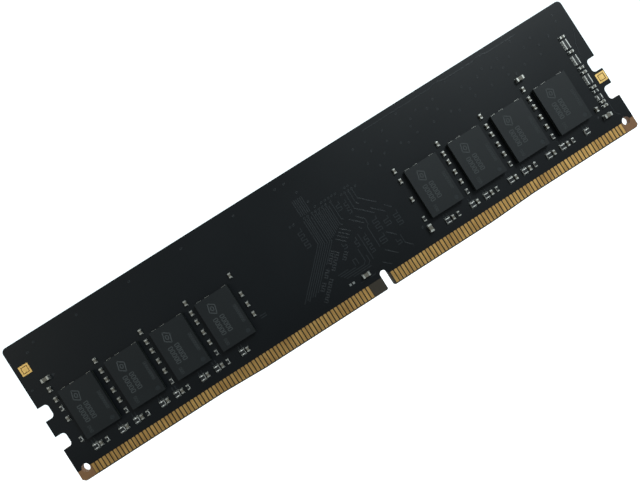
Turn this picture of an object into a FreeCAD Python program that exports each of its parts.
import FreeCAD, Part
import math
import os
import Sketcher

# A memory module standing in its socket: X runs along the contact edge, Z points out of
# the socket, the memory packages face -Y and Y = 0 is the middle of the board.  Lengths
# along the board are measured from its left end and heights from its lowest edge.

DIMENSIONS = (
    ("board_length", 133.35), ("board_height", 31.25),
    ("core_thickness", 0.9), ("prepreg_thickness", 0.21), ("plane_thickness", 0.035),
    ("plane_inset", 0.6), ("mask_thickness", 0.035), ("mask_bottom", 2.8),
    ("corner_radius", 1.0), ("left_corner_cut", 0.65), ("right_corner_cut", 0.5),
    ("notch_depth", 2.1), ("notch_width", 3.0), ("notch_low", 9.5), ("notch_high", 16.1),
    ("notch_radius", 0.78),
    ("key_centre", 72.25), ("key_width", 1.5), ("key_top", 3.95), ("key_flare", 0.25),
    ("end_rise", 0.4), ("left_flat_end", 32.25), ("left_slope_end", 42.45),
    ("right_slope_start", 96.85), ("right_flat_start", 107.05), ("edge_bevel", 0.19),
    ("hole_radius", 0.88), ("hole_left", 1.83), ("hole_right", 131.63), ("hole_height", 2.72),
    ("contact_width", 0.6), ("contact_pitch", 0.85), ("contact_thickness", 0.04),
    ("contact_top", 2.76), ("contact_low", 0.02), ("contact_rise", 0.27), ("contact_cut", 0.1),
    ("contact_first", 3.35), ("contact_second", 73.9),
    ("contacts_left", 77), ("contacts_right", 67),
    ("fiducial_side", 2.1), ("fiducial_ring", 1.1), ("fiducial_line", 0.16),
    ("fiducial_line_depth", 0.015),
    ("copper_thickness", 0.03), ("trace_width", 0.12), ("ridge_margin", 0.03),
    ("ridge_height", 0.015), ("land_radius", 0.23), ("land_mouth", 0.13),
    ("dram_width", 7.5), ("dram_length", 11.0), ("dram_middle", 12.87),
    ("dram_first", 9.4), ("dram_second", 90.38), ("dram_pitch", 10.46),
    ("ball_height", 0.3), ("ball_radius", 0.225), ("ball_pitch", 0.8),
    ("ball_inner", 1.6), ("ball_rows", 13), ("ball_columns", 3), ("ball_neck", 0.17),
    ("ball_waist", 0.09),
    ("substrate_thickness", 0.2), ("mould_thickness", 0.7),
    ("die_width", 5.4), ("die_length", 8.6), ("die_thickness", 0.3),
    ("dimple_radius", 0.48), ("dimple_depth", 0.04), ("dimple_across", 2.62),
    ("dimple_along", 4.42),
    ("stub_width", 0.13), ("stub_reach", 0.09), ("stub_thickness", 0.05), ("stub_step", 0.27),
    ("plating", 0.015),
    ("small_width", 0.5), ("small_length", 1.0), ("small_height", 0.5), ("small_end", 0.25),
    ("large_width", 0.8), ("large_length", 1.6), ("large_height", 0.8), ("large_end", 0.35),
    ("resistor_height", 0.35), ("resistor_end", 0.2), ("coat_thickness", 0.03),
    ("array_length", 1.0), ("array_height", 0.38), ("array_end", 0.18),
    ("pair_width", 1.0), ("pair_pitch", 0.67), ("pair_end_width", 0.36),
    ("quad_width", 2.1), ("quad_pitch", 0.53), ("quad_end_width", 0.32),
    ("pad_reach", 0.12), ("array_reach", 0.26), ("pad_tuck", 0.02), ("pad_margin", 0.05),
    ("fillet_tip", 0.02), ("fillet_climb", 0.8), ("spare_side", 0.45),
    ("row_height", 5.22), ("row_first_left", 5.9), ("row_first_right", 89.25), ("row_step", 9.37),
    ("end_column", 129.45),
    ("spd_width", 2.0), ("spd_length", 3.0), ("spd_height", 0.75), ("spd_pad_width", 0.25),
    ("spd_pad_length", 0.4), ("spd_pad_pitch", 0.5), ("spd_pad_thickness", 0.02),
    ("spd_across", 66.7), ("spd_along", 13.0),
)

SHEET = "Dimensions"
CORE_FACE = "core_thickness / 2"
OUTER_FACE = "core_thickness / 2 + prepreg_thickness"
PAD_FACE = "core_thickness / 2 + prepreg_thickness + contact_thickness"
MASK_FACE = "core_thickness / 2 + prepreg_thickness + mask_thickness"
BOARD_RIGHT = "board_length"
TOLERANCE = 1e-4
DIAGONAL = math.sqrt(0.5)
# The contact edge is made of long edges only; those at the corner cuts and slot are shorter.
LONG_EDGE = 5.0
# Where the stubs of the plating lines start along a package, from its middle.
STUB_GROUPS = (-3.2, -1.3, 2.55)
STUBS_PER_GROUP = 4
# The capacitor beside the configuration memory on the back.
SPD_CAPACITOR = (70.6, 13.0)

# Which way a small part lies: its long side up the board or along it.
UP, ALONG = 0, 1
STAND_UP = FreeCAD.Rotation(FreeCAD.Vector(1, 0, 0), 90)
TURN_ROUND = FreeCAD.Rotation(FreeCAD.Vector(0, 0, 1), 180)
QUARTER_TURN = FreeCAD.Rotation(FreeCAD.Vector(0, 0, 1), 90)

doc = FreeCAD.newDocument("ram_module")
os.makedirs("parts", exist_ok=True)


def make_sheet():
    sheet = doc.addObject("Spreadsheet::Sheet", SHEET)
    for row, (alias, value) in enumerate(DIMENSIONS, 1):
        sheet.set("A%d" % row, alias)
        sheet.set("B%d" % row, str(value))
        sheet.setAlias("B%d" % row, alias)
    doc.recompute()
    return sheet


sheet = make_sheet()
ALIASES = sorted((alias for alias, _ in DIMENSIONS), key=len, reverse=True)


def bound(text):
    """Turn a formula in plain dimension names into one that reads the sheet."""
    words = text.replace("(", " ( ").replace(")", " ) ").split()
    return " ".join(SHEET + "." + word if word in ALIASES else word for word in words)


def value(text):
    """The number a formula stands for."""
    return float(sheet.evalExpression(bound(text)))


def bind(item, prop, text):
    item.setExpression(prop, bound(text))


# ---------------------------------------------------------------- bodies and sketches

def new_body(name):
    body = doc.addObject("PartDesign::Body", name)
    body.Label = name
    body.AllowCompound = True
    return body


def new_sketch(body, name, role, offset="0"):
    """A sketch on one of the body's own planes, moved along its normal."""
    sketch = body.newObject("Sketcher::SketchObject", name)
    plane = [item for item in body.Origin.OriginFeatures if item.Role == role][0]
    sketch.AttachmentSupport = [(plane, "")]
    sketch.MapMode = "FlatFace"
    if offset != "0":
        bind(sketch, "AttachmentOffset.Base.z", offset)
    return sketch


def fix_point(sketch, geometry, position, across, along):
    """Pin a point of the sketch at two formulas from the origin."""
    for kind, text in (("DistanceX", across), ("DistanceY", along)):
        row = sketch.addConstraint(
            Sketcher.Constraint(kind, -1, 1, geometry, position, value(text)))
        bind(sketch, "Constraints[%d]" % row, text)


def add_polygon(sketch, corners):
    """A closed polygon through corners given as pairs of formulas."""
    points = [FreeCAD.Vector(value(x), value(y), 0) for x, y in corners]
    first = sketch.GeometryCount
    count = len(points)
    for index in range(count):
        sketch.addGeometry(Part.LineSegment(points[index], points[(index + 1) % count]), False)
    for index in range(count):
        following = first + (index + 1) % count
        sketch.addConstraint(Sketcher.Constraint("Coincident", first + index, 2, following, 1))
    for index, (x, y) in enumerate(corners):
        fix_point(sketch, first + index, 1, x, y)


def add_rectangle(sketch, left, low, right, high):
    add_polygon(sketch, ((left, low), (right, low), (right, high), (left, high)))


def add_circle(sketch, across, along, radius):
    centre = FreeCAD.Vector(value(across), value(along), 0)
    circle = Part.Circle(centre, FreeCAD.Vector(0, 0, 1), value(radius))
    index = sketch.addGeometry(circle, False)
    fix_point(sketch, index, 3, across, along)
    row = sketch.addConstraint(Sketcher.Constraint("Radius", index, value(radius)))
    bind(sketch, "Constraints[%d]" % row, radius)


def pad(body, sketch, name, length):
    feature = body.newObject("PartDesign::Pad", name)
    feature.Profile = sketch
    bind(feature, "Length", length)
    doc.recompute()
    return feature


def pocket(body, sketch, name, depth=None, along_normal=False):
    """Cut away the sketch, and check that material really went."""
    before = body.Shape.Volume
    feature = body.newObject("PartDesign::Pocket", name)
    feature.Profile = sketch
    feature.Reversed = along_normal
    if depth is None:
        feature.Type = "ThroughAll"
    else:
        bind(feature, "Length", depth)
    doc.recompute()
    if body.Shape.Volume > before - TOLERANCE:
        raise RuntimeError(name + " cuts nothing")
    return feature


def edges_through(shape, spots):
    """Names of the edges that run through the board at the given places."""
    names = []
    for number, edge in enumerate(shape.Edges, 1):
        box = edge.BoundBox
        if box.XLength > TOLERANCE or box.ZLength > TOLERANCE:
            continue
        for x, z in spots:
            if abs(box.XMin - x) < TOLERANCE and abs(box.ZMin - z) < TOLERANCE:
                names.append("Edge%d" % number)
    return names


def fillet(body, base, name, radius, names):
    feature = body.newObject("PartDesign::Fillet", name)
    feature.Base = (base, names)
    bind(feature, "Radius", radius)
    doc.recompute()
    return feature


def stand_on_left_end(body):
    """Board lengths start at the left end, and the module's X at its middle."""
    bind(body, "Placement.Base.x", "-1 * board_length / 2")


# ---------------------------------------------------------------- board layers

NOTCH_SIDES = []
for level in ("notch_low", "notch_high"):
    NOTCH_SIDES += [level + " - notch_width / 2", level + " + notch_width / 2"]


def side_corners():
    """Right side upwards, the top, and the left side downwards, with the latch notches."""
    inner_right = BOARD_RIGHT + " - notch_depth"
    right = []
    for low, high in (NOTCH_SIDES[:2], NOTCH_SIDES[2:]):
        right += [(BOARD_RIGHT, low), (inner_right, low), (inner_right, high),
                  (BOARD_RIGHT, high)]
    left = []
    for low, high in (NOTCH_SIDES[2:], NOTCH_SIDES[:2]):
        left += [("0", high), ("notch_depth", high), ("notch_depth", low), ("0", low)]
    return right + [(BOARD_RIGHT, "board_height"), ("0", "board_height")] + left


def key_corners(low, flare):
    """The keying slot, from its left mouth over the top to its right mouth."""
    left = "key_centre - key_width / 2"
    right = "key_centre + key_width / 2"
    shoulder = "key_top - key_width / 2"
    if not flare:
        return [(left, low), (left, shoulder), (right, shoulder), (right, low)]
    return [(left + " - key_flare", low), (left, low + " + key_flare"), (left, shoulder),
            (right, shoulder), (right, low + " + key_flare"), (right + " + key_flare", low)]


def contact_edge_corners():
    """The lower edge: raised ends, two slopes, and the keying slot."""
    return ([("0", "end_rise + left_corner_cut"), ("left_corner_cut", "end_rise"),
             ("left_flat_end", "end_rise"), ("left_slope_end", "0")]
            + key_corners("0", True)
            + [("right_slope_start", "0"), ("right_flat_start", "end_rise"),
               (BOARD_RIGHT + " - right_corner_cut", "end_rise"),
               (BOARD_RIGHT, "end_rise + right_corner_cut")])


def mask_edge_corners():
    return [("0", "mask_bottom")] + key_corners("mask_bottom", False) + [
        (BOARD_RIGHT, "mask_bottom")]


def board_layer(name, start, thickness, lower_corners):
    """One sheet of the board: outline, round cuts, rounded corners."""
    body = new_body(name)
    outline = new_sketch(body, name + "_outline", "XZ_Plane", start)
    add_polygon(outline, lower_corners + side_corners())
    pad(body, outline, name + "_sheet", thickness)
    cuts = new_sketch(body, name + "_round_cuts", "XZ_Plane", start)
    add_circle(cuts, "key_centre", "key_top - key_width / 2", "key_width / 2")
    add_circle(cuts, "hole_left", "hole_height", "hole_radius")
    add_circle(cuts, "hole_right", "hole_height", "hole_radius")
    drilled = pocket(body, cuts, name + "_drilled", along_normal=True)
    inner = []
    for across in ("notch_depth", BOARD_RIGHT + " - notch_depth"):
        inner += [(value(across), value(level)) for level in NOTCH_SIDES]
    rounded = fillet(body, drilled, name + "_notch_corners", "notch_radius",
                     edges_through(drilled.Shape, inner))
    top = [(0.0, value("board_height")), (value("board_length"), value("board_height"))]
    finished = fillet(body, rounded, name + "_top_corners", "corner_radius",
                      edges_through(rounded.Shape, top))
    return body, finished


def bevel_edge(body, base, face):
    """Bevel the contact edge of an outer sheet, where the socket's springs ride on."""
    names = []
    for number, edge in enumerate(base.Shape.Edges, 1):
        box = edge.BoundBox
        on_face = abs(box.YMin - face) < TOLERANCE and abs(box.YMax - face) < TOLERANCE
        if on_face and box.ZMax < value("end_rise") + TOLERANCE and box.XLength > LONG_EDGE:
            names.append("Edge%d" % number)
    feature = body.newObject("PartDesign::Chamfer", body.Name + "_bevel")
    feature.Base = (base, names)
    bind(feature, "Size", "edge_bevel")
    doc.recompute()


def plane_rectangle(sketch):
    add_rectangle(sketch, "notch_depth + plane_inset", "key_top + plane_inset",
                  BOARD_RIGHT + " - notch_depth - plane_inset", "board_height - plane_inset")


def plane_layer(name, start):
    body = new_body(name)
    sketch = new_sketch(body, name + "_outline", "XZ_Plane", start)
    plane_rectangle(sketch)
    pad(body, sketch, name + "_foil", "plane_thickness")
    stand_on_left_end(body)
    return body


def prepreg_layer(name, start, inner_face, outer_face, along_normal):
    """An outer sheet with the bed of its copper plane pressed into the inner face."""
    body, sheet_feature = board_layer(name, start, "prepreg_thickness", contact_edge_corners())
    bed = new_sketch(body, name + "_bed_outline", "XZ_Plane", inner_face)
    plane_rectangle(bed)
    bedded = pocket(body, bed, name + "_bed", "plane_thickness", along_normal)
    bevel_edge(body, bedded, outer_face)
    stand_on_left_end(body)
    return body


def build_board():
    core, _ = board_layer("laminate_core", "-1 * core_thickness / 2", "core_thickness",
                          contact_edge_corners())
    stand_on_left_end(core)
    outer = value(OUTER_FACE)
    front = prepreg_layer("prepreg_front", CORE_FACE, CORE_FACE, -outer, True)
    back = prepreg_layer("prepreg_back", "-1 * ( " + OUTER_FACE + " )", "-1 * core_thickness / 2",
                         outer, False)
    ground = plane_layer("plane_ground", CORE_FACE)
    power = plane_layer("plane_power", "-1 * ( core_thickness / 2 + plane_thickness )")
    return [core, front, back, ground, power]


# ---------------------------------------------------------------- edge contacts

def contact_row(name, first, count, start):
    """One row of fingers, ended along the stepped edge."""
    body = new_body(name)
    finger = new_sketch(body, name + "_finger", "XZ_Plane", start)
    left = first + " - contact_width / 2"
    right = first + " + contact_width / 2"
    add_polygon(finger, (
        (left, "contact_low"), (right, "contact_low"), (right, "contact_top - contact_cut"),
        (right + " - contact_cut", "contact_top"), (left + " + contact_cut", "contact_top"),
        (left, "contact_top - contact_cut")))
    single = pad(body, finger, name + "_single", "contact_thickness")
    pattern = body.newObject("PartDesign::LinearPattern", name + "_pattern")
    pattern.Originals = [single]
    pattern.Direction = (finger, ["H_Axis"])
    pattern.Mode = "Spacing"
    bind(pattern, "Offset", "contact_pitch")
    bind(pattern, "Occurrences", count)
    body.Tip = pattern
    doc.recompute()
    ends = new_sketch(body, name + "_ends", "XZ_Plane", start)
    add_polygon(ends, (
        ("0", "0"), (BOARD_RIGHT, "0"), (BOARD_RIGHT, "end_rise + contact_rise"),
        ("right_flat_start", "end_rise + contact_rise"), ("right_slope_start", "contact_rise"),
        ("left_slope_end", "contact_rise"), ("left_flat_end", "end_rise + contact_rise"),
        ("0", "end_rise + contact_rise")))
    pocket(body, ends, name + "_trimmed", along_normal=True)
    stand_on_left_end(body)
    return body


def build_contacts():
    back = "-1 * ( " + PAD_FACE + " )"
    rows = (("contacts_front_left", "contact_first", "contacts_left", OUTER_FACE),
            ("contacts_front_right", "contact_second", "contacts_right", OUTER_FACE),
            ("contacts_back_left", "contact_first", "contacts_left", back),
            ("contacts_back_right", "contact_second", "contacts_right", back))
    return [contact_row(*row) for row in rows]


# ---------------------------------------------------------------- parts on the bench
# Small parts are drawn lying on a bench: X across, Y along, Z up from the pads.

def bench_box(name, size, corner):
    box = doc.addObject("Part::Box", name)
    for prop, text in zip(("Length", "Width", "Height"), size):
        bind(box, prop, text)
    for axis, text in zip("xyz", corner):
        bind(box, "Placement.Base." + axis, text)
    return box


def boolean(kind, name, base, tool):
    cut = doc.addObject(kind, name)
    cut.Base = base
    cut.Tool = tool
    return cut


def fused(name, shapes):
    joined = doc.addObject("Part::MultiFuse", name)
    joined.Shapes = shapes
    return joined


def bench_chip(kind, width, length, height, end, lanes, reach="pad_reach"):
    """Body, plated ends, pads and solder of one small part.

    lanes holds the middle and the width of each pair of ends, as formulas.
    """
    body = bench_box("bench_" + kind + "_body",
                     (width + " - 2 * plating", length + " - 2 * plating",
                      height + " - 2 * plating"),
                     ("-1 * ( " + width + " ) / 2 + plating",
                      "-1 * ( " + length + " ) / 2 + plating", "plating"))
    blocks, pads, fillets = [], [], []
    for lane, (middle, end_width) in enumerate(lanes):
        left = middle + " - ( " + end_width + " ) / 2"
        for side in (-1, 1):
            tag = "bench_%s_%d_%s" % (kind, lane, "low" if side < 0 else "high")
            start = ("-1 * ( " + length + " ) / 2" if side < 0
                     else "( " + length + " ) / 2 - " + end)
            blocks.append(bench_box(tag + "_end", (end_width, end, height), (left, start, "0")))
            pads.append(bench_pad(tag, left, end_width, length, end, side, reach))
            fillets.append(bench_fillet(tag, left, end_width, length, height, side, reach))
    joined = fused("bench_" + kind + "_end_blocks", blocks)
    ends = boolean("Part::Cut", "bench_" + kind + "_ends", joined, body)
    doc.recompute()
    return {"body": body, "ends": ends, "pads": pads, "fillets": fillets}


def bench_pad(tag, left, end_width, length, end, side, reach):
    """The tinned pad under one end; it reaches out past the part."""
    span = end + " + pad_tuck + " + reach
    start = ("-1 * ( " + length + " ) / 2 - " + reach if side < 0
             else "( " + length + " ) / 2 - " + end + " - pad_tuck")
    return bench_box(tag + "_pad", (end_width + " + 2 * pad_margin", span, "contact_thickness"),
                     (left + " - pad_margin", start, "-1 * contact_thickness"))


def bench_fillet(tag, left, end_width, length, height, side, reach):
    """The wedge of solder that climbs the outside of one end."""
    wedge = doc.addObject("Part::Wedge", tag + "_fillet")
    spans = (("Xmin", "0"), ("Xmax", end_width), ("X2min", "0"), ("X2max", end_width),
             ("Ymin", "0"), ("Ymax", height + " * fillet_climb"), ("Zmin", "0"), ("Zmax", reach),
             ("Z2min", "0"), ("Z2max", "fillet_tip"))
    for prop, text in spans:
        bind(wedge, prop, text)
    # The wedge grows along its own Y: stand it up with its foot pointing away from the part.
    if side < 0:
        wedge.Placement = FreeCAD.Placement(FreeCAD.Vector(), STAND_UP)
        bind(wedge, "Placement.Base.x", left)
        bind(wedge, "Placement.Base.y", "-1 * ( " + length + " ) / 2")
    else:
        wedge.Placement = FreeCAD.Placement(FreeCAD.Vector(), TURN_ROUND * STAND_UP)
        bind(wedge, "Placement.Base.x", left + " + " + end_width)
        bind(wedge, "Placement.Base.y", "( " + length + " ) / 2")
    return wedge


def bench_coat(kind, width, length, height, end):
    """The black glass over a resistor, between its ends."""
    return bench_box("bench_" + kind + "_coat", (width, length + " - 2 * " + end, "coat_thickness"),
                     ("-1 * ( " + width + " ) / 2", "-1 * ( " + length + " ) / 2 + " + end,
                      height + " - plating"))


def lane_middles(count, pitch):
    return ["%g * %s" % (index - (count - 1) / 2, pitch) for index in range(count)]


def build_bench():
    single = [("0", "small_width")]
    bench = {
        "small": bench_chip("small", "small_width", "small_length", "small_height",
                            "small_end", single),
        "large": bench_chip("large", "large_width", "large_length", "large_height",
                            "large_end", [("0", "large_width")]),
        "resistor": bench_chip("resistor", "small_width", "small_length", "resistor_height",
                               "resistor_end", single),
        "pair": bench_chip("pair", "pair_width", "array_length", "array_height", "array_end",
                           [(x, "pair_end_width") for x in lane_middles(2, "pair_pitch")],
                           "array_reach"),
        "quad": bench_chip("quad", "quad_width", "array_length", "array_height", "array_end",
                           [(x, "quad_end_width") for x in lane_middles(4, "quad_pitch")],
                           "array_reach"),
    }
    bench["resistor"]["coat"] = bench_coat("resistor", "small_width", "small_length",
                                           "resistor_height", "resistor_end")
    bench["pair"]["coat"] = bench_coat("pair", "pair_width", "array_length", "array_height",
                                       "array_end")
    bench["quad"]["coat"] = bench_coat("quad", "quad_width", "array_length", "array_height",
                                       "array_end")
    doc.recompute()
    return bench


# ---------------------------------------------------------------- where the parts stand

def mount_plane(x, z, lie, face=None, behind=False):
    """Placement that takes a part from the bench to the board's front or back."""
    height = value(PAD_FACE) if face is None else face
    turn = STAND_UP * QUARTER_TURN if lie == ALONG else STAND_UP
    if behind:
        turn = TURN_ROUND * turn
        height = -height
    return FreeCAD.Placement(FreeCAD.Vector(x - value("board_length") / 2, -height, z), turn)


def column(x, caps=(), resistors=()):
    return ([("small", x, z, UP) for z in caps]
            + [("resistor", x, z, UP) for z in resistors])


def between_packages():
    """Columns of decoupling capacitors, each with one termination resistor at its foot."""
    spots = column(4.15, (19.6, 17.25, 12.8), (15.15, 8.0))
    for x in (14.55, 25.05, 35.55):
        spots += column(x, (19.6, 17.25, 15.2, 12.8, 10.45), (8.0,))
    spots += column(45.95, (19.55, 15.15, 12.8, 10.5))
    spots += column(85.27, (19.5, 17.1, 12.75), (8.1,))
    for x in (95.72, 106.25, 116.75):
        spots += column(x, (19.5, 17.15, 15.2, 12.8, 10.5), (8.1,))
    return spots


def below_packages():
    """The repeated row of series resistors and capacitors near the contacts."""
    row = value("row_height")
    spots = []
    for first in ("row_first_left", "row_first_right"):
        for index in range(4):
            x = value(first) + index * value("row_step")
            spots += [("pair", x, row, UP), ("small", x + 1.18, row, UP),
                      ("resistor", x + 2.53, row, UP), ("pair", x + 6.0, row, UP),
                      ("small", x + 7.15, row, UP)]
    # The last group at the right ends with its paired resistors.
    return spots[:-1]


def right_end():
    """The termination parts that stand in a column at the right end."""
    x = value("end_column")
    spots = [("small", x, z, ALONG) for z in (24.3, 20.8, 16.9, 15.8, 12.2, 8.65, 7.7)]
    spots += [("quad", x, z, ALONG) for z in (22.6, 18.8, 14.1)]
    spots += [("resistor", x, 11.2, ALONG), ("pair", x, 9.78, ALONG), ("small", 127.5, 7.9, UP)]
    return spots


def large_parts():
    return [("large", 4.6, 21.75, ALONG), ("large", 117.3, 21.75, ALONG),
            ("large", 128.7, 5.7, ALONG), ("large", 69.15, 4.85, ALONG),
            ("large", 85.3, 5.85, UP)]


def collect(bench, piece, spots, kinds):
    """Every copy of one piece of the named kinds, as loose solids."""
    solids = []
    for kind, x, z, lie in spots:
        if kind not in kinds:
            continue
        placement = mount_plane(x, z, lie)
        masters = bench[kind][piece]
        for master in masters if isinstance(masters, list) else [masters]:
            solids += placed(master.Shape, placement)
    return solids


def placed(shape, placement):
    return [solid.transformed(placement.toMatrix()) for solid in shape.Solids]


def group(name, solids):
    """A node that gathers separate copies of a bench piece."""
    feature = doc.addObject("Part::Feature", name)
    feature.Label = name
    feature.Shape = Part.makeCompound(solids)
    feature.Placement = FreeCAD.Placement()
    return feature


def build_small_parts(bench, spots, spd_spot):
    resistive = ("resistor", "pair", "quad")
    everything = ("small", "large") + resistive
    nodes = []
    for name, piece, kinds in (
            ("capacitor_bodies", "body", ("small",)),
            ("capacitor_ends", "ends", ("small",)),
            ("large_capacitor_bodies", "body", ("large",)),
            ("large_capacitor_ends", "ends", ("large",)),
            ("resistor_bodies", "body", ("resistor",)),
            ("resistor_ends", "ends", ("resistor",)),
            ("resistor_array_bodies", "body", ("pair", "quad")),
            ("resistor_array_ends", "ends", ("pair", "quad")),
            ("resistor_coats", "coat", resistive),
            ("solder_pads", "pads", everything),
            ("solder_fillets", "fillets", everything)):
        solids = collect(bench, piece, spots, kinds)
        if "small" in kinds:
            behind = mount_plane(*spd_spot, UP, behind=True)
            masters = bench["small"][piece]
            for master in masters if isinstance(masters, list) else [masters]:
                solids += placed(master.Shape, behind)
        if piece == "pads":
            solids += spare_pads()
        nodes.append(group(name, solids))
    return nodes


def spare_pads():
    """Two tinned pads that carry no part."""
    master = bench_box("bench_spare_pad", ("spare_side", "spare_side", "contact_thickness"),
                       ("-1 * spare_side / 2", "-1 * spare_side / 2",
                        "-1 * contact_thickness"))
    doc.recompute()
    solids = []
    for x in (65.42, 66.17):
        solids += placed(master.Shape, mount_plane(x, 4.88, UP))
    return solids


# ---------------------------------------------------------------- fiducial pads

def build_fiducials():
    body = new_body("fiducial_master")
    sketch = new_sketch(body, "fiducial_outline", "XY_Plane")
    half = "fiducial_side / 2"
    add_rectangle(sketch, "-1 * " + half, "-1 * " + half, half, half)
    pad(body, sketch, "fiducial_pad", "contact_thickness")
    line = new_sketch(body, "fiducial_line_outline", "XY_Plane", "contact_thickness")
    inner = "fiducial_ring / 2"
    outer = "fiducial_ring / 2 + fiducial_line"
    add_rectangle(line, "-1 * ( " + outer + " )", "-1 * ( " + outer + " )", outer, outer)
    add_rectangle(line, "-1 * " + inner, "-1 * " + inner, inner, inner)
    pocket(body, line, "fiducial_groove", "fiducial_line_depth")
    solids = []
    for x, z in ((2.07, 25.5), (132.2, 13.05)):
        solids += placed(body.Shape, mount_plane(x, z, UP, value(OUTER_FACE)))
    return group("fiducial_pads", solids)


# ---------------------------------------------------------------- outer copper

def serpentine(left, low, high, reach, pitch=0.59):
    """A length-matching wave that climbs from low to high, swinging out by reach."""
    points = [(left, low)]
    out = False
    z = low
    while z + pitch < high:
        out = not out
        x = left + reach if out else left
        points += [(x, z), (x, z + pitch)]
        z += pitch
    return points


def slanted_wave(x, z, waves, reach=0.65, pitch=0.52):
    """The same wave laid along a 45 degree line that runs up to the right."""
    run = []
    for index in range(2 * waves):
        along = index * pitch * DIAGONAL
        foot = (x + along, z + along)
        tip = (foot[0] - reach * DIAGONAL, foot[1] + reach * DIAGONAL)
        run += [foot, tip] if index % 2 else [tip, foot]
    return run


def parallel(run, count, across, along):
    """Copies of one run, each moved on from the last."""
    return [[(x + index * across, z + index * along) for x, z in run]
            for index in range(count)]


def address_bus():
    """Lines that drop from the row of vias; the left ones fan down between the banks."""
    runs = parallel([(64.4, 25.3), (64.4, 21.85)], 6, 0.42, 0.0)
    for x, high, bend, foot in ((64.3, 20.7, 15.3, 6.6), (64.75, 21.0, 15.15, 6.9),
                                (65.12, 20.7, 14.92, 6.5), (65.5, 21.0, 14.7, 6.9),
                                (66.05, 20.7, 14.65, 6.7), (66.6, 21.0, 14.6, 7.1),
                                (67.0, 20.7, 14.4, 10.9)):
        runs.append([(x, high), (x, bend), (x - bend + foot, foot)])
    for x, high, low in ((67.4, 21.0, 14.95), (67.8, 20.7, 15.0), (68.15, 21.0, 15.3),
                         (68.58, 20.7, 15.4), (69.0, 21.0, 15.8), (69.4, 20.7, 16.0),
                         (69.8, 21.0, 16.3)):
        runs.append([(x, high), (x, low)])
    return runs


def tuned_lines():
    """Lines to the right-hand bank: down from a via, across at 45 degrees and down again."""
    return [
        [(74.4, 21.0), (74.4, 17.5), (77.3, 14.6)],
        [(75.25, 21.0), (75.25, 18.3), (75.7, 17.85)],
        [(76.05, 21.0), (76.05, 19.0), (78.8, 16.25)],
        [(77.25, 15.8), (79.3, 13.75)],
        [(79.9, 14.85), (80.95, 13.8)],
        [(73.75, 15.95), (75.05, 14.65), (75.05, 13.4), (74.6, 12.95), (74.6, 8.3)],
        [(72.3, 16.15), (74.4, 14.05)],
        [(71.0, 21.0), (71.0, 17.15), (71.3, 16.85)],
        [(70.25, 20.6), (70.25, 16.4), (70.55, 16.1)],
        [(73.5, 13.3), (73.1, 13.7)],
        [(72.15, 12.7), (72.15, 6.9)],
        [(77.35, 9.95), (78.75, 8.55)],
        [(75.2, 7.05), (77.1, 5.15)],
        [(73.45, 5.2), (74.7, 3.95)],
        [(79.4, 7.9), (79.4, 6.15), (80.6, 4.95)],
        [(68.4, 7.65), (68.4, 8.85), (69.15, 8.85), (69.15, 7.65)],
        [(67.4, 4.05), (70.9, 4.05)],
    ]


def tuned_waves():
    waves = [serpentine(*wave) for wave in (
        (61.95, 15.75, 19.9, 0.95), (73.05, 17.1, 20.1, 0.6), (71.45, 18.7, 20.75, 0.85),
        (76.05, 11.0, 14.3, 1.05), (75.3, 8.4, 10.5, 1.3), (78.05, 11.0, 13.2, 1.15),
        (80.35, 9.75, 12.95, 1.0), (70.75, 10.6, 12.7, 0.6), (72.75, 8.0, 12.4, 0.7),
        (78.1, 6.5, 7.7, 0.8), (68.3, 11.6, 13.1, 0.75))]
    waves += [slanted_wave(*wave) for wave in (
        (60.2, 6.6, 2), (62.2, 8.5, 2), (64.4, 10.5, 3), (59.6, 4.3, 5), (64.3, 9.0, 4),
        (67.3, 9.6, 2))]
    return waves


def contact_feeders():
    """Straight lines near the contacts, two of which turn up into the bank on their right."""
    return [
        [(64.4, 7.75), (66.6, 7.75)],
        [(64.65, 7.28), (68.05, 7.28)],
        [(65.2, 6.82), (69.95, 6.82), (70.55, 7.42), (70.55, 10.1)],
        [(65.5, 6.35), (70.75, 6.35), (71.35, 6.95), (71.35, 8.2)],
        [(66.9, 5.9), (71.0, 5.9)],
    ]


def package_feeders():
    """Short lines from the paired resistors up to the packages."""
    runs = []
    for kind, x, z, _ in below_packages():
        if kind == "pair":
            lane = value("pair_pitch") / 2
            for side in (-1, 1):
                runs.append([(x + side * lane, z + 0.6), (x + side * lane, z + 1.6)])
    return runs


def pour_edges():
    """The edge of the wide copper at the top right, and its corner by the latch notches."""
    return [
        [(84.0, 29.95), (100.6, 29.95), (101.4, 30.3), (102.9, 30.3), (103.9, 29.95),
         (111.2, 29.95), (112.0, 30.25), (113.4, 30.25), (114.4, 29.95), (121.5, 29.95)],
        [(132.7, 24.6), (131.4, 21.7), (130.9, 19.4)],
        [(130.55, 7.9), (130.55, 5.4), (131.3, 4.4)],
    ]


def trace_runs():
    runs = address_bus() + tuned_lines() + tuned_waves() + contact_feeders()
    runs += parallel([(67.85, 14.25), (69.45, 12.65)], 4, 0.6, 0.47)
    runs += parallel([(46.7, 9.4), (47.9, 9.4)], 2, 0.0, -0.47)
    return runs + package_feeders() + pour_edges()


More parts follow.
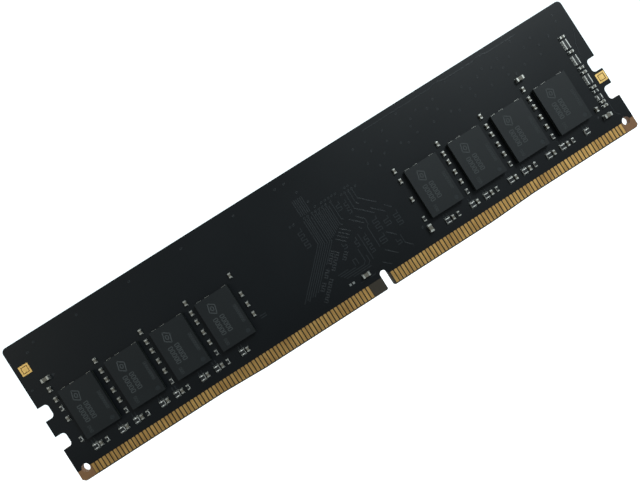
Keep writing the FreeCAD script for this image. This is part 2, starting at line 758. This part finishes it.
def via_spots():
    """Vias: rows over the right bank, a sparse row under the top edge, and the centre."""
    rows = (
        (21.25, (61.3, 62.1, 64.75, 65.5, 66.6, 67.4, 68.15, 69.0, 69.8, 71.0, 73.6, 74.4,
                 75.25, 76.05, 76.95)),
        (22.1, (67.8, 69.35, 70.2, 71.0, 71.8, 72.6, 74.9, 75.65, 83.5)),
        (23.7, (67.2, 81.6, 85.6, 89.6, 93.65, 97.7, 101.8, 107.8, 111.9, 116.0, 120.0, 124.0)),
        (25.5, (83.5, 87.4, 93.1, 99.7, 107.7, 115.8, 124.7)),
        (26.75, (93.9, 97.9, 106.3, 110.2, 113.7, 118.0, 121.7)),
        (27.75, (80.5, 83.5, 87.6, 95.7, 99.9, 111.9, 115.8, 123.9, 130.3)),
        (29.3, (6.3, 16.2, 28.4, 40.6, 52.9, 62.8, 64.9, 91.9, 103.9, 119.9, 130.3)))
    spots = [(x, z) for z, places in rows for x in places]
    return spots + [(66.2, 26.5), (91.0, 22.9), (103.4, 22.9), (117.5, 22.9), (127.3, 26.1),
                    (1.1, 21.2), (4.2, 28.1), (6.2, 21.75), (127.0, 6.25), (84.0, 6.8)]


def strip(run, width, thickness):
    """A flat strip of the given width along a run of points, from the laminate outwards."""
    half = width / 2
    face = value(OUTER_FACE)
    left = value("board_length") / 2
    pieces = []
    for (x0, z0), (x1, z1) in zip(run, run[1:]):
        bar = Part.makeBox(math.hypot(x1 - x0, z1 - z0) + width, thickness, width,
                           FreeCAD.Vector(-half, -face - thickness, -half))
        slope = math.degrees(math.atan2(z1 - z0, x1 - x0))
        turn = FreeCAD.Rotation(FreeCAD.Vector(0, -1, 0), slope)
        bar.Placement = FreeCAD.Placement(FreeCAD.Vector(x0 - left, 0, z0), turn)
        pieces.append(bar)
    if len(pieces) == 1:
        return pieces[0]
    return pieces[0].multiFuse(pieces[1:]).removeSplitter()


def ring(x, z, outer, inner, thickness):
    """A land round the mouth of a filled via."""
    start = FreeCAD.Vector(x - value("board_length") / 2, -value(OUTER_FACE), z)
    outwards = FreeCAD.Vector(0, -1, 0)
    return Part.makeCylinder(outer, thickness, start, outwards).cut(
        Part.makeCylinder(inner, thickness, start, outwards))


def build_outer_copper(runs, vias, pads):
    """Traces and via lands etched from the front foil, clear of the soldered pads."""
    thickness = value("copper_thickness")
    shapes = [strip(run, value("trace_width"), thickness) for run in runs]
    shapes += [ring(x, z, value("land_radius"), value("land_mouth"), thickness)
               for x, z in vias]
    touched = [solid for solid in pads
               if any(solid.BoundBox.intersect(shape.BoundBox) for shape in shapes)]
    copper = shapes[0].multiFuse(shapes[1:]).cut(Part.makeCompound(touched))
    return group("signal_traces", copper.Solids)


def build_ridges(runs, vias):
    """The coating stands a little proud where it runs over copper."""
    thickness = value("mask_thickness + ridge_height")
    width = value("trace_width + 2 * ridge_margin")
    outer = value("land_radius + ridge_margin")
    inner = value("land_mouth - ridge_margin")
    shapes = [strip(run, width, thickness) for run in runs]
    shapes += [ring(x, z, outer, inner, thickness) for x, z in vias]
    ridges = doc.addObject("Part::Feature", "mask_ridges")
    ridges.Shape = shapes[0].multiFuse(shapes[1:])
    return ridges


def build_masks(openings_front, openings_back, ridges):
    front, _ = board_layer("mask_front_sheet", OUTER_FACE, "mask_thickness", mask_edge_corners())
    stand_on_left_end(front)
    back, _ = board_layer("mask_back_sheet", "-1 * ( " + MASK_FACE + " )", "mask_thickness",
                          mask_edge_corners())
    stand_on_left_end(back)
    doc.recompute()
    coated = fused("mask_front_coat", [front, ridges])
    nodes = []
    for name, coat, openings in (("solder_mask_front", coated, openings_front),
                                 ("solder_mask_back", back, openings_back)):
        tool = doc.addObject("Part::Feature", name + "_openings")
        tool.Shape = Part.makeCompound(openings)
        mask = boolean("Part::Cut", name, coat, tool)
        mask.Label = name
        nodes.append(mask)
    doc.recompute()
    return nodes


# ---------------------------------------------------------------- memory packages

def build_mould(name):
    """The moulded body: a plain block with the pin-one dimple and the bed of the die."""
    body = new_body(name)
    outline = new_sketch(body, name + "_outline", "XY_Plane", "ball_height + substrate_thickness")
    add_rectangle(outline, "-1 * dram_width / 2", "-1 * dram_length / 2",
                  "dram_width / 2", "dram_length / 2")
    pad(body, outline, name + "_block", "mould_thickness")
    mark = new_sketch(body, name + "_dimple_outline", "XY_Plane",
                      "ball_height + substrate_thickness + mould_thickness")
    add_circle(mark, "dimple_across", "-1 * dimple_along", "dimple_radius")
    pocket(body, mark, name + "_dimple", "dimple_depth")
    bed = new_sketch(body, name + "_bed_outline", "XY_Plane",
                     "ball_height + substrate_thickness")
    add_rectangle(bed, "-1 * die_width / 2", "-1 * die_length / 2",
                  "die_width / 2", "die_length / 2")
    pocket(body, bed, name + "_bed", "die_thickness", along_normal=True)
    return body


def build_slab(name, width, length, low, thickness):
    body = new_body(name)
    outline = new_sketch(body, name + "_outline", "XY_Plane", low)
    add_rectangle(outline, "-1 * " + width + " / 2", "-1 * " + length + " / 2",
                  width + " / 2", length + " / 2")
    pad(body, outline, name + "_block", thickness)
    return body


def build_balls(name):
    """Solder balls in two banks, flattened where they meet the package and the board."""
    body = new_body(name)
    row = "ball_pitch * ( ball_rows - 1 ) / 2"
    balls = [single_ball(body, name + "_left", "-1 * ball_inner - ( ball_columns - 1 ) * ball_pitch",
                         row),
             single_ball(body, name + "_right", "ball_inner", row)]
    pattern = body.newObject("PartDesign::LinearPattern", name + "_pattern")
    pattern.Originals = balls
    pattern.Direction = (body_axis(body, "X_Axis"), [""])
    pattern.Mode = "Spacing"
    bind(pattern, "Offset", "ball_pitch")
    bind(pattern, "Occurrences", "ball_columns")
    pattern.Direction2 = (body_axis(body, "Y_Axis"), [""])
    pattern.Mode2 = "Spacing"
    bind(pattern, "Offset2", "ball_pitch")
    bind(pattern, "Occurrences2", "ball_rows")
    body.Tip = pattern
    doc.recompute()
    return body


def body_axis(body, role):
    return [item for item in body.Origin.OriginFeatures if item.Role == role][0]


def single_ball(body, name, across, row):
    profile = new_sketch(body, name + "_profile", "XZ_Plane", row)
    bulge = across + " + ball_radius"
    neck = across + " + ball_neck"
    add_polygon(profile, ((across, "0"), (neck, "0"), (bulge, "ball_waist"),
                          (bulge, "ball_height - ball_waist"), (neck, "ball_height"),
                          (across, "ball_height")))
    ball = body.newObject("PartDesign::Revolution", name)
    ball.Profile = profile
    ball.ReferenceAxis = (profile, ["Edge6"])
    ball.Angle = 360
    doc.recompute()
    return ball


def stand_on_board(body, across, along):
    """Take a package from the bench to the front of the board, at two formulas."""
    body.Placement = FreeCAD.Placement(FreeCAD.Vector(), STAND_UP)
    bind(body, "Placement.Base.x", across + " - board_length / 2")
    bind(body, "Placement.Base.y", "-1 * ( " + MASK_FACE + " )")
    bind(body, "Placement.Base.z", along)


def dram_places():
    return [first + " + %d * dram_pitch" % index
            for first in ("dram_first", "dram_second") for index in range(4)]


def build_drams():
    nodes = []
    for number, across in enumerate(dram_places(), 1):
        name = "dram_%d_" % number
        parts = [
            build_mould(name + "mould"),
            build_slab(name + "substrate", "dram_width", "dram_length", "ball_height",
                       "substrate_thickness"),
            build_slab(name + "die", "die_width", "die_length",
                       "ball_height + substrate_thickness", "die_thickness"),
            build_balls(name + "balls")]
        for body in parts:
            stand_on_board(body, across, "dram_middle")
        nodes += parts
    return nodes


def build_stubs():
    """Cut ends of the plating lines, bright along the top edge of every substrate."""
    master = bench_box("bench_stub", ("stub_width", "stub_reach", "stub_thickness"),
                       ("-1 * stub_width / 2", "dram_length / 2",
                        "ball_height + substrate_thickness - stub_thickness"))
    doc.recompute()
    solids = []
    for across in dram_places():
        for start in STUB_GROUPS:
            for index in range(STUBS_PER_GROUP):
                x = value(across) + start + index * value("stub_step")
                solids += placed(master.Shape, mount_plane(x, value("dram_middle"), UP,
                                                           value(MASK_FACE)))
    return group("substrate_stubs", solids)


# ---------------------------------------------------------------- configuration memory

def build_spd():
    """The small memory on the back that tells the computer what the module is."""
    thin = "spd_pad_thickness"
    body = build_slab("spd_body", "spd_width", "spd_length", thin, "spd_height - " + thin)
    centre = bench_box("bench_spd_centre_pad", ("spd_width / 2", "spd_length / 2", thin),
                       ("-1 * spd_width / 4", "-1 * spd_length / 4", "0"))
    masters = [centre]
    for side in (-1, 1):
        for lane, middle in enumerate(lane_middles(4, "spd_pad_pitch")):
            start = ("-1 * spd_length / 2" if side < 0 else "spd_length / 2 - spd_pad_length")
            masters.append(bench_box("bench_spd_pad_%d_%d" % (side + 1, lane),
                                     ("spd_pad_width", "spd_pad_length", thin),
                                     (middle + " - spd_pad_width / 2", start, "0")))
    doc.recompute()
    spot = mount_plane(value("spd_across"), value("spd_along"), UP, value(MASK_FACE), True)
    pads = [solid for master in masters for solid in placed(master.Shape, spot)]
    body.Placement = spot
    return [body, group("spd_pads", pads)]


# ---------------------------------------------------------------- the module

def split_by_side(solids):
    front = [solid for solid in solids if solid.BoundBox.YMax < 0]
    back = [solid for solid in solids if solid.BoundBox.YMin > 0]
    return front, back


def build_module():
    nodes = build_board() + build_contacts() + build_drams() + [build_stubs()]
    spots = between_packages() + below_packages() + right_end() + large_parts()
    small = build_small_parts(build_bench(), spots, SPD_CAPACITOR)
    nodes += small + build_spd()
    pads = [node for node in small if node.Label == "solder_pads"][0]
    fiducials = build_fiducials()
    runs = trace_runs()
    vias = via_spots()
    pads_front, pads_back = split_by_side(pads.Shape.Solids)
    copper = build_outer_copper(runs, vias, pads_front)
    ridges = build_ridges(runs, vias)
    openings = pads_front + copper.Shape.Solids + fiducials.Shape.Solids
    return nodes + [fiducials, copper] + build_masks(openings, pads_back, ridges)


def check_and_write(nodes):
    doc.recompute()
    for item in doc.Objects:
        if "Invalid" in item.State or "Error" in item.State:
            raise RuntimeError(item.Label + " did not build")
    for node in nodes:
        if node.Shape.isNull() or not node.Shape.isValid():
            raise RuntimeError(node.Label + " has no valid shape")
        node.Shape.exportStep("parts/" + node.Label + ".step")


check_and_write(build_module())
